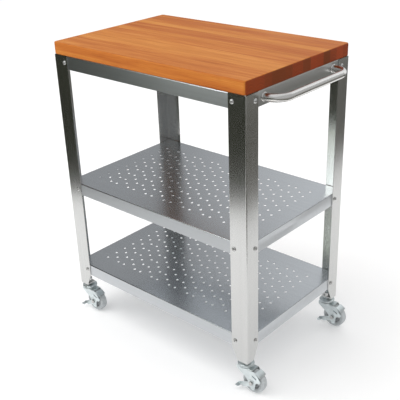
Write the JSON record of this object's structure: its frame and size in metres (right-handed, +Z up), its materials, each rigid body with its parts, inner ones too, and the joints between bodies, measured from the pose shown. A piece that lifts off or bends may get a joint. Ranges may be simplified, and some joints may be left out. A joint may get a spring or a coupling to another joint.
{
  "type": "kitchen island cart",
  "caption": "Rolling kitchen island with a wooden worktop, a stainless angle-leg frame, perforated shelves, a towel-bar handle and braked swivel casters.",
  "frame": {"origin": "middle of the cart's bounding box, on the floor", "axes": "+X along the long side towards the handle, +Y from the front to the back, +Z up"},
  "size_m": [0.7986, 0.4898, 0.94],
  "materials": {
    "worktop_wood": "oiled edge-grain hardwood, satin",
    "leg_steel": "brushed along the leg",
    "apron_steel": "brushed along the rail",
    "shelf_steel": "fine brushed along the shelf",
    "handle_steel": "polished tube",
    "bolt_steel": "bright plated",
    "caster_zinc": "bright zinc plate",
    "wheel_core": "moulded grey plastic",
    "tyre_rubber": "grey non-marking rubber"
  },
  "bodies": {
    "frame": {"worktop": "worktop_wood", "leg_front_left": "leg_steel", "leg_front_right": "leg_steel", "leg_back_left": "leg_steel", "leg_back_right": "leg_steel", "apron_front": "apron_steel", "apron_back": "apron_steel", "apron_left": "apron_steel", "apron_right": "apron_steel", "middle_shelf": "shelf_steel", "lower_shelf": "shelf_steel", "handle": "handle_steel", "bolt_front_left_apron_long": "bolt_steel", "bolt_front_left_apron_end": "bolt_steel", "bolt_front_left_middle_long": "bolt_steel", "bolt_front_left_middle_end": "bolt_steel", "bolt_front_left_lower_long": "bolt_steel", "bolt_front_left_lower_end": "bolt_steel", "bolt_front_right_apron_long": "bolt_steel", "bolt_front_right_apron_end": "bolt_steel", "bolt_front_right_middle_long": "bolt_steel", "bolt_front_right_middle_end": "bolt_steel", "bolt_front_right_lower_long": "bolt_steel", "bolt_front_right_lower_end": "bolt_steel", "bolt_back_left_apron_long": "bolt_steel", "bolt_back_left_apron_end": "bolt_steel", "bolt_back_left_middle_long": "bolt_steel", "bolt_back_left_middle_end": "bolt_steel", "bolt_back_left_lower_long": "bolt_steel", "bolt_back_left_lower_end": "bolt_steel", "bolt_back_right_apron_long": "bolt_steel", "bolt_back_right_apron_end": "bolt_steel", "bolt_back_right_middle_long": "bolt_steel", "bolt_back_right_middle_end": "bolt_steel", "bolt_back_right_lower_long": "bolt_steel", "bolt_back_right_lower_end": "bolt_steel", "caster_front_left_mount": "caster_zinc", "caster_front_right_mount": "caster_zinc", "caster_back_left_mount": "caster_zinc", "caster_back_right_mount": "caster_zinc"},
    "caster_front_left_swivel": {"caster_front_left_fork": "caster_zinc", "caster_front_left_axle": "bolt_steel"},
    "caster_front_left_roller": {"caster_front_left_wheel": "wheel_core", "caster_front_left_tyre": "tyre_rubber"},
    "caster_front_left_pedal": {"caster_front_left_brake": "caster_zinc"},
    "caster_front_right_swivel": {"caster_front_right_fork": "caster_zinc", "caster_front_right_axle": "bolt_steel"},
    "caster_front_right_roller": {"caster_front_right_wheel": "wheel_core", "caster_front_right_tyre": "tyre_rubber"},
    "caster_front_right_pedal": {"caster_front_right_brake": "caster_zinc"},
    "caster_back_left_swivel": {"caster_back_left_fork": "caster_zinc", "caster_back_left_axle": "bolt_steel"},
    "caster_back_left_roller": {"caster_back_left_wheel": "wheel_core", "caster_back_left_tyre": "tyre_rubber"},
    "caster_back_left_pedal": {"caster_back_left_brake": "caster_zinc"},
    "caster_back_right_swivel": {"caster_back_right_fork": "caster_zinc", "caster_back_right_axle": "bolt_steel"},
    "caster_back_right_roller": {"caster_back_right_wheel": "wheel_core", "caster_back_right_tyre": "tyre_rubber"},
    "caster_back_right_pedal": {"caster_back_right_brake": "caster_zinc"}
  },
  "joints": [
    {"name": "caster_front_left_swivel", "type": "hinge", "parent": "frame", "child": "caster_front_left_swivel", "pos_m": [-0.37435, -0.2121, 0.098], "axis": [0, 0, 1], "continuous": true},
    {"name": "caster_front_left_roll", "type": "hinge", "parent": "caster_front_left_swivel", "child": "caster_front_left_roller", "pos_m": [-0.34135, -0.2121, 0.0375], "axis": [0, 1, 0], "continuous": true},
    {"name": "caster_front_left_brake", "type": "hinge", "parent": "caster_front_left_swivel", "child": "caster_front_left_pedal", "pos_m": [-0.34135, -0.2121, 0.0375], "axis": [0, 1, 0], "range_deg": [0, 12]},
    {"name": "caster_front_right_swivel", "type": "hinge", "parent": "frame", "child": "caster_front_right_swivel", "pos_m": [0.31965, -0.2121, 0.098], "axis": [0, 0, 1], "continuous": true},
    {"name": "caster_front_right_roll", "type": "hinge", "parent": "caster_front_right_swivel", "child": "caster_front_right_roller", "pos_m": [0.35265, -0.2121, 0.0375], "axis": [0, 1, 0], "continuous": true},
    {"name": "caster_front_right_brake", "type": "hinge", "parent": "caster_front_right_swivel", "child": "caster_front_right_pedal", "pos_m": [0.35265, -0.2121, 0.0375], "axis": [0, 1, 0], "range_deg": [0, 12]},
    {"name": "caster_back_left_swivel", "type": "hinge", "parent": "frame", "child": "caster_back_left_swivel", "pos_m": [-0.37435, 0.2199, 0.098], "axis": [0, 0, 1], "continuous": true},
    {"name": "caster_back_left_roll", "type": "hinge", "parent": "caster_back_left_swivel", "child": "caster_back_left_roller", "pos_m": [-0.34135, 0.2199, 0.0375], "axis": [0, 1, 0], "continuous": true},
    {"name": "caster_back_left_brake", "type": "hinge", "parent": "caster_back_left_swivel", "child": "caster_back_left_pedal", "pos_m": [-0.34135, 0.2199, 0.0375], "axis": [0, 1, 0], "range_deg": [0, 12]},
    {"name": "caster_back_right_swivel", "type": "hinge", "parent": "frame", "child": "caster_back_right_swivel", "pos_m": [0.31965, 0.2199, 0.098], "axis": [0, 0, 1], "continuous": true},
    {"name": "caster_back_right_roll", "type": "hinge", "parent": "caster_back_right_swivel", "child": "caster_back_right_roller", "pos_m": [0.35265, 0.2199, 0.0375], "axis": [0, 1, 0], "continuous": true},
    {"name": "caster_back_right_brake", "type": "hinge", "parent": "caster_back_right_swivel", "child": "caster_back_right_pedal", "pos_m": [0.35265, 0.2199, 0.0375], "axis": [0, 1, 0], "range_deg": [0, 12]}
  ]
}
